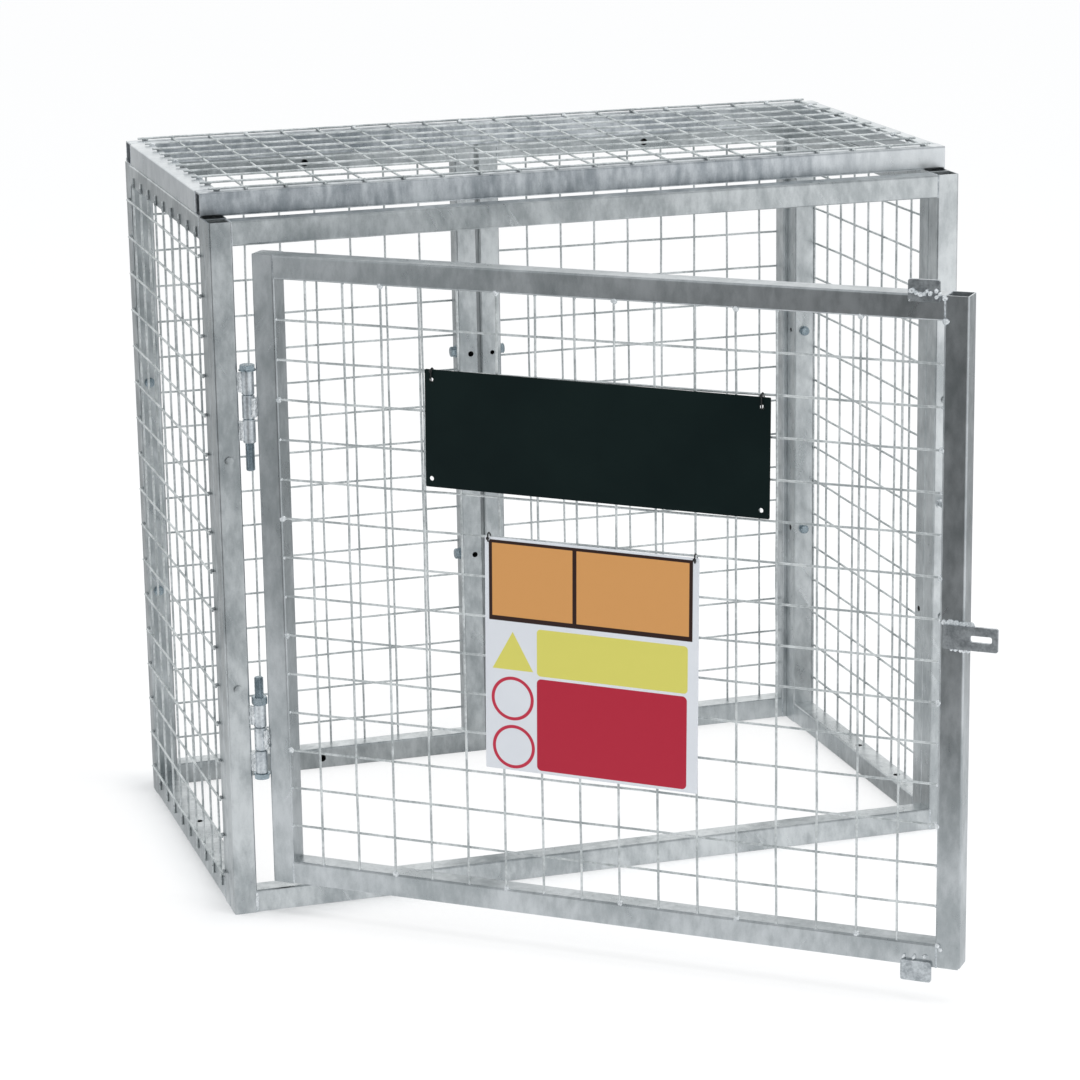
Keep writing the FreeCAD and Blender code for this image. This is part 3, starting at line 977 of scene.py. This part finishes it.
def face_plate(work, low, high, radius, hole=None):
    """A flat plate facing the front, from the corners of its CAD solid."""
    middle = (low + high) / 2
    place = Matrix.Translation((middle.x, high.y, middle.z)) @ PLATE_PLACE
    outline = rounded_outline((high.x - low.x) / 2, (high.z - low.z) / 2, radius)
    solid_outline(work, outline, 0, high.y - low.y, place, hole)


hasp_low, hasp_high = node_box("hasp_plate")
SLOT_LENGTH = 26 * MM
SLOT_HEIGHT = 8 * MM
SLOT_MARGIN = 7 * MM
PLATE_EASE = 0.5 * MM
slot_middle = (hasp_high.x - hasp_low.x) / 2 - SLOT_MARGIN - SLOT_LENGTH / 2
slot_outline = shifted(rounded_outline(SLOT_LENGTH / 2, SLOT_HEIGHT / 2, 2.6 * MM), slot_middle, 0)
hasp_work = bmesh.new()
face_plate(hasp_work, hasp_low, hasp_high, 2.2 * MM, slot_outline)
from_work("hasp_strap", hasp_work, "hasp_plate", PLATE_ZINC, PLATE_EASE)

stops_low, stops_high = node_box("door_stops")
STOP_HEIGHT = 26 * MM
stop_work = bmesh.new()
face_plate(stop_work, Vector((stops_low.x, stops_low.y, stops_high.z - STOP_HEIGHT)), stops_high, 3 * MM)
face_plate(stop_work, stops_low, Vector((stops_high.x, stops_high.y, stops_low.z + STOP_HEIGHT)), 3 * MM)
from_work("stop_plates", stop_work, "door_stops", PLATE_ZINC, PLATE_EASE)

FRONT_LIFT = -0.6 * MM
PLATE_LIFT = stops_low.y - 0.3 * MM
# Blobs of the stops' welds, on the plates and beside them, in millimetres: along, up, width, height.
PLATE_WELDS = (
    (856, 868.3, 5, 7), (861, 866.4, 5, 4.4), (866, 864.6, 6, 4.6), (871, 865.4, 5, 4), (878, 866, 5, 4.6),
    (889, 866, 4.4, 3.6), (873.8, 868.6, 3.4, 4.4), (885, 869.3, 4, 4), (885.5, 862.5, 4.6, 3.6))
TUBE_WELDS = (
    (868, 858.5, 9, 5), (854, 857.5, 5, 3.4), (894, 861, 6, 5.4), (895.5, 833.5, 6.2, 6.6),
    (854.6, 55.5, 5, 3.4), (867, 56.5, 6, 3.8), (880.5, 58.6, 5.4, 3.8), (896, 74, 5, 6), (899, 70, 4, 4))
BLOB_SWELL = 0.62
for depth, stop_welds in ((PLATE_LIFT, PLATE_WELDS), (FRONT_LIFT, TUBE_WELDS)):
    for along, up, wide, tall in stop_welds:
        swell = (wide * MM * BLOB_SWELL, tall * MM * BLOB_SWELL, 2.8 * MM)
        large_spots.append((Vector((along * MM, depth, up * MM)), FRONT, swell))
uneven = random.Random(3)
for step in range(8):
    along = hasp_low.x + (1.5 + 4.7 * step + uneven.uniform(-1.2, 1.2)) * MM
    for level, size in ((hasp_high.z + 1.4 * MM, 3.5), (hasp_low.z - 1.0 * MM, 2.8)):
        half = (size + uneven.uniform(-0.9, 0.9)) * MM
        if level > hasp_high.z or 1 < step < 7:
            large_spots.append((Vector((along, FRONT_LIFT, level)), FRONT, (half, half * 0.9, 2.5 * MM)))
BLOBS.run("door_blob_welds", points_mesh(large_spots), "door", Lumps=240.0, Unevenness=mm(3.6, 3.6, 3.6))

# Padlock eye on the right post
eye_low, eye_high = node_box("hasp_eye")
eye_middle = (eye_low + eye_high) / 2
EYE_HOLE = 5 * MM
eye_hole_place = -((eye_high.y - eye_low.y) / 2 - 2 * EYE_HOLE)
eye_work = bmesh.new()
solid_outline(
    eye_work, rounded_outline((eye_high.x - eye_low.x) / 2, (eye_high.y - eye_low.y) / 2, 7 * MM),
    eye_low.z, eye_high.z, Matrix.Translation((eye_middle.x, eye_middle.y, 0)),
    shifted(rounded_outline(EYE_HOLE, EYE_HOLE, EYE_HOLE), 0, eye_hole_place))
from_work("padlock_eye", eye_work, "hasp_eye", PLATE_ZINC, 0.4 * MM)
eye_root = eye_high.y - 0.5 * MM
eye_lines = [[Vector((across, eye_root, level)) for across in (eye_low.x, eye_high.x)]
             for level in (eye_low.z, eye_high.z)]

# Hinges

KNUCKLE = 30 * MM
KNUCKLE_RADIUS = 8 * MM
BORE_RADIUS = 6.3 * MM
BOLT_RADIUS = 6 * MM
HEAD_RADIUS = 10.4 * MM
HEAD_HEIGHT = 7.5 * MM
WASHER = 1.6 * MM
WASHER_RADIUS = 10.8 * MM
NUT_HEIGHT = 10 * MM
TAIL = 36 * MM
THREAD_LAP = 0.5 * MM
KNUCKLE_LEVELS = {"upper": 0.625, "lower": 0.191}
EASE = 0.8 * MM
# Where the beads beside the sleeves run, in millimetres from the hinge axis: across and back.
DOOR_BEAD_SIDES = ((9.2, -4.0), (10.2, 3.0))
POST_BEAD_SIDES = ((-8.8, 0.4), (-10.0, 4.4))
BEAD_END = 3 * MM


def sleeve(work, level, centre):
    top = level + KNUCKLE
    rings = (
        (KNUCKLE_RADIUS - EASE, level), (KNUCKLE_RADIUS, level + EASE), (KNUCKLE_RADIUS, top - EASE),
        (KNUCKLE_RADIUS - EASE, top), (BORE_RADIUS, top), (BORE_RADIUS, level))
    turned(work, rings, Matrix.Translation(centre), 40, True)


post_work = bmesh.new()
door_work = bmesh.new()
post_beads = []
door_beads = []
for level in KNUCKLE_LEVELS.values():
    for step in range(3):
        on_door = step == 1
        centre = Vector() if on_door else AXIS_FOOT
        foot = level + step * (KNUCKLE + MM)
        sleeve(door_work if on_door else post_work, foot, centre)
        # The fillet runs up the corner between the sleeve and the tube, front and back.
        for across, depth in DOOR_BEAD_SIDES if on_door else POST_BEAD_SIDES:
            corner = centre + Vector(mm(across, depth, 0))
            bead = [corner + Vector((0, 0, end)) for end in (foot + BEAD_END, foot + KNUCKLE - BEAD_END)]
            (door_beads if on_door else post_beads).append(bead)
from_work("post_sleeves", post_work, "post_hinge_knuckles", SLEEVE_ZINC)
from_work("door_sleeves", door_work, "door_hinge_knuckles", SLEEVE_ZINC)
foot_corner = node_box("front_bottom_rail")[0] + Vector(mm(-0.4, 0.6, 0))
foot_bead = [foot_corner + Vector(mm(0, 0, level)) for level in (3.5, 27.5)]
for bead_name, body, paths, radius, unevenness, ripple, seed in (
        ("cage_bead_welds", "cage", post_beads + eye_lines, 2.7, (3.4, 3.4, 2.6), 170.0, 2.0),
        ("post_foot_bead", "cage", [foot_bead], 2.4, (1.6, 1.6, 1.0), 230.0, 8.0),
        ("door_bead_welds", "door", door_beads, 3.1, (4.6, 4.6, 2.6), 170.0, 5.0)):
    BEADS.run(
        bead_name, lines_mesh(paths), body,
        Radius=radius * MM, Step=1.2 * MM, Unevenness=mm(*unevenness), Ripple=ripple, Seed=seed)

place = Matrix.Translation(AXIS_FOOT)
head_turn = place @ Matrix.Rotation(radians(12), 4, "Z")
nut_turn = place @ Matrix.Rotation(radians(33), 4, "Z")
for hinge, level in KNUCKLE_LEVELS.items():
    top = level + 3 * KNUCKLE + 2 * MM
    work = bmesh.new()
    turned(work, [(BOLT_RADIUS, level + 0.1 * MM), (BOLT_RADIUS, top - 0.1 * MM)], place)
    hangs = hinge == "upper"
    thread = (level - TAIL, level + THREAD_LAP) if hangs else (top - THREAD_LAP, top + TAIL)
    washer = (top, top + WASHER) if hangs else (level - WASHER, level)
    head = (top + WASHER, top + HEAD_HEIGHT) if hangs else (level - HEAD_HEIGHT, level - WASHER)
    turned(work, thread_rings(*thread, BOLT_RADIUS, not hangs), place, 28)
    turned(work, [(WASHER_RADIUS, end) for end in washer], place)
    turned(work, hexagon_rings(*head, HEAD_RADIUS, not hangs, hangs), head_turn)
    if not hangs:
        turned(work, hexagon_rings(top, top + NUT_HEIGHT, HEAD_RADIUS, True, True), nut_turn)
    from_work(
        f"{hinge}_threaded_bolt", work, f"{hinge}_hinge_bolt", PLATED, sharp_over=35,
        slot="zinc_plated_steel")

# Bolts that join the panels, and the low heads on the front posts
BOLT_SIZE = (1, 1, 1)
SMALL_HEAD = (0.82, 0.82, 0.82)
LOW_HEAD = (0.72, 0.72, 0.34)
BACK_BOLT_OUT = 0.032
SIDE_BOLT_BACK = 0.497
SIDE_BOLT_FRONT = 0.045
POST_FACE = -0.015
POST_HEAD_LIFT = 0.004
back_middle = BACK_FRONT + 0.015
panel_bolts = []
post_heads = []
for level in (UPPER_BOLTS, LOWER_BOLTS):
    for side in (-1, 1):
        panel_bolts.append(((side * BACK_BOLT_OUT, back_middle, level), (side, 0, 0), BOLT_SIZE))
    for across in (-SIDE_MIDDLE, SIDE_MIDDLE):
        panel_bolts.append(((across, SIDE_BOLT_BACK, level), FRONT, SMALL_HEAD))
        post_heads.append(((across, POST_FACE, level + POST_HEAD_LIFT), FRONT, LOW_HEAD))
        panel_bolts.append(((across, SIDE_BOLT_FRONT, level), BACK, BOLT_SIZE))
PANEL_BOLTS.run("panel_bolt_heads", points_mesh(panel_bolts), "cage", "zinc_plated_steel", sharp_over=25)
POST_HEADS.run("post_bolt_heads", points_mesh(post_heads), "cage", sharp_over=25)

# Boards, hung a little out of true on the door's mesh by straps through their holes


def hung_board(name, slot, materials, hole_places, hole_radius, corner_radius, top_trim=0.0):
    """A board with its holes; returns where the holes are. The second material is for all but its face."""
    low, high = node_box(name)
    middle = (low + high) / 2
    turn = Matrix.Rotation(-BOARD_TILT[name], 4, "Y")
    tilt = Matrix.Translation(middle) @ turn @ Matrix.Translation(-middle)
    work = bmesh.new()
    face_plate(work, low, high - Vector((0, 0, top_trim)), corner_radius)
    work.transform(tilt)
    holes = []
    for across, down in hole_places:
        spot = Vector(((low.x if across > 0 else high.x) + across * MM, middle.y,
                       (high.z if down > 0 else low.z) - down * MM))
        holes.append((tilt @ spot, (0, 1, 0), hole_radius, 12 * MM))
    board = from_work(name + "_hung", work, name, materials[0], 0.3 * MM, holes=holes, slot=slot)
    for material in materials[1:]:
        board.data.materials.append(material)
    face = SWING.to_3x3() @ Vector(FRONT)
    for polygon in board.data.polygons:
        polygon.material_index = 0 if polygon.normal.dot(face) > 0.7 else len(materials) - 1
    return [hole[0] for hole in holes]


def strap(hole, rise):
    """A strap from a hole over the board's top edge and round the wire behind it."""
    side = [(-2.2, -1.5), (-2.6, 3), (-2.6, rise - 2), (-1.6, rise + 1.4), (1.5, rise + 2), (5.5, rise - 1),
            (7.2, rise - 6), (6.4, -1.5), (3, -3), (0, -2.6)]
    return [hole + Vector(mm(0, depth, up)) for depth, up in side]


name_holes = hung_board(
    "name_board", "green_board", [BOARD_GREEN], ((9, 13), (-10.5, 12), (7.5, -10.5), (-10.5, -10)),
    3 * MM, 1.5 * MM)
sign_holes = hung_board(
    "sign_board", "sign_sheet", [SIGN_PRINT, SIGN_BACK], ((4.6, 6), (-5, 6)), 2 * MM, 1 * MM, 2.4 * MM)
# For each tied hole, in millimetres: how far the strap rises over it, and how far its knot sits above it.
tied = list(zip(name_holes[:2] + sign_holes, (12.5, 15, 6.5, 6.5), (11.5, 14, 2, 2)))
straps = [strap(hole, rise) for hole, rise, lift in tied]
knots = [(hole + Vector(mm(0, -3.4, lift)), FRONT, mm(2.2, 2.2, 1.4)) for hole, rise, lift in tied]
STRAPS.run(
    "board_ties", lines_mesh(straps, closed=True), "door", "green_board",
    Radius=0.95 * MM, Step=1.5 * MM, Unevenness=(0, 0, 0), Ripple=100.0)
KNOTS.run("tie_heads", points_mesh(knots), "door", "green_board", Lumps=260.0, Unevenness=mm(1.2, 1.2, 1.2))

# Floor, light and camera


# What metal mirrors: for each way out, where a patch of the room begins, where it is full, and its tone.
ROOM_PATCHES = (
    ((0.55, -0.835, 0.0), 0.94, 1.0, (1.05, 1.06, 1.07, 1.0)),
    ((0.99, 0.141, 0.0), 0.8, 0.96, rgb(160, 162, 163)),
    ((-0.37, 0.929, 0.0), 0.85, 0.97, rgb(174, 176, 177)),
    ((-0.643, -0.766, 0.0), 0.905, 0.98, rgb(4, 5, 6)),
)
ROOM_GREY = rgb(202, 205, 207)


def room_tone(paint, look):
    """The tone of the room in reflections, all round the cage."""
    tone = ROOM_GREY
    for way, begins, full, patch in ROOM_PATCHES:
        tone = paint.blend(paint.dot(look, way).eased(begins, full), tone, patch)
    return tone


FOOT_LOW, FOOT_HIGH = [Vector(corner) for corner in CAD_BOUNDS]
FOOT_LOW.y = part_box("front_left_post")[0].y


def foot_distance(paint, here):
    """How far a spot of the floor is from the outline that the cage stands on."""
    beyond = [abs(value - (low + high) / 2) - (high - low) / 2
              for value, low, high in zip(paint.axes(here), FOOT_LOW.xy, FOOT_HIGH.xy)]
    outside = [value.at_least(0.0) for value in beyond]
    outer = (outside[0] * outside[0] + outside[1] * outside[1]).root()
    return abs(outer + beyond[0].maths("MAXIMUM", beyond[1]).at_most(0.0))


def studio_floor():
    """White paper that keeps a soft shadow. In reflections only the paper by the door's foot is bright."""
    paint = Paint("studio_paper")
    seen = paint.node("LightPath", output="Is Camera Ray")
    shiny = paint.node("LightPath", output="Is Glossy Ray")
    here = paint.node("TexCoord", output=3)
    outward = paint.node("VectorMath", {"operation": "NORMALIZE"}, here)
    forward = paint.dot(here, (-0.29, -0.957, 0.0))
    near = (1 - forward.eased(0.88, 1.15)) * (1 - paint.dot(here, (0.0, 1.0, 0.0)).eased(-0.03, 0.12))
    band = forward.eased(0.95, 1.2) * (1 - forward.eased(1.5, 2.3))
    band = band * paint.dot(outward, (-0.9, -0.436, 0.0)).eased(0.7, 0.95)
    diffuse = paint.node("BsdfDiffuse", {}, rgb(252, 252, 252), 0.0)
    white = paint.node("Emission", {}, (1, 1, 1, 1), 1.02)
    mirrored = paint.blend(near, room_tone(paint, outward), rgb(234, 236, 238))
    mirrored = paint.blend(band * 0.7, mirrored, rgb(70, 72, 74))
    glow = paint.node("Emission", {}, mirrored, 1.0)
    away = foot_distance(paint, here).eased(0.0, 0.07)
    base = paint.node("MixShader", {}, seen * (0.2 + away * 0.48), diffuse, white)
    whole = paint.node("MixShader", {}, shiny * 0.92, base, glow)
    return paint.show(whole)


work = bmesh.new()
bmesh.ops.create_circle(work, cap_ends=True, segments=96, radius=40)
floor_data = mesh_from(work, "floor")
floor_data.materials.append(studio_floor())
floor = put("floor", floor_data)


def studio_world():
    """White to the camera and as light, and the room's tones in reflections."""
    world = bpy.data.worlds.new("studio")
    bpy.context.scene.world = world
    paint = Paint("studio", world)
    look = paint.node("TexCoord", output=0)
    backdrop = paint.dot(look, (0.29, 0.957, 0.0)).eased(0.5, 0.8)
    height = paint.dot(look, (0.0, 0.0, 1.0))
    beyond = paint.blend(height.eased(0.2, 0.36), rgb(246, 248, 248), (1.12, 1.12, 1.12, 1))
    mirrored = paint.blend(backdrop, room_tone(paint, look), beyond)
    mirrored = paint.blend(height.eased(0.5, 0.85), mirrored, rgb(184, 187, 189))
    tone = paint.blend(paint.node("LightPath", output="Is Glossy Ray"), rgb(246, 248, 250), mirrored)
    tone = paint.blend(paint.node("LightPath", output="Is Camera Ray"), tone, (1, 1, 1, 1))
    paint.show(paint.node("Background", {}, tone, 1.0), "World")


studio_world()


def soft_box(name, place, target, width, height, power):
    light = bpy.data.lights.new(name, "AREA")
    light.shape = "RECTANGLE"
    light.size = width
    light.size_y = height
    light.energy = power
    lamp = put(name, light)
    lamp.location = place
    lamp.rotation_euler = (Vector(target) - Vector(place)).to_track_quat("-Z", "Y").to_euler()
    lamp.visible_glossy = False


soft_box("overhead", (0.4, -0.4, 3.4), (0, 0.2, 0), 2.6, 2.6, 50)
soft_box("right_front", (3.2, -2.6, 2.4), (0, 0, 0.5), 1.6, 1.6, 30)

FOCAL_PIXELS = 3548.75
FRAME_PIXELS = 1080
CAMERA_PLACE = (-1.37756, -4.253, 1.6398)
HEADING = 0.297
TILT = -0.2597
ROLL = -0.016


def photo_camera():
    """The camera that the photograph's corners and wires give."""
    data = bpy.data.cameras.new("photo_camera")
    data.sensor_width = 36
    data.lens = data.sensor_width * FOCAL_PIXELS / FRAME_PIXELS
    camera = put("photo_camera", data)
    heading = Matrix.Rotation(-HEADING, 4, "Z")
    tilt = Matrix.Rotation(pi / 2 + TILT, 4, "X")
    camera.matrix_world = Matrix.Translation(CAMERA_PLACE) @ heading @ tilt @ Matrix.Rotation(ROLL, 4, "Z")
    bpy.context.scene.camera = camera


photo_camera()
bpy.context.scene.view_settings.view_transform = "Standard"
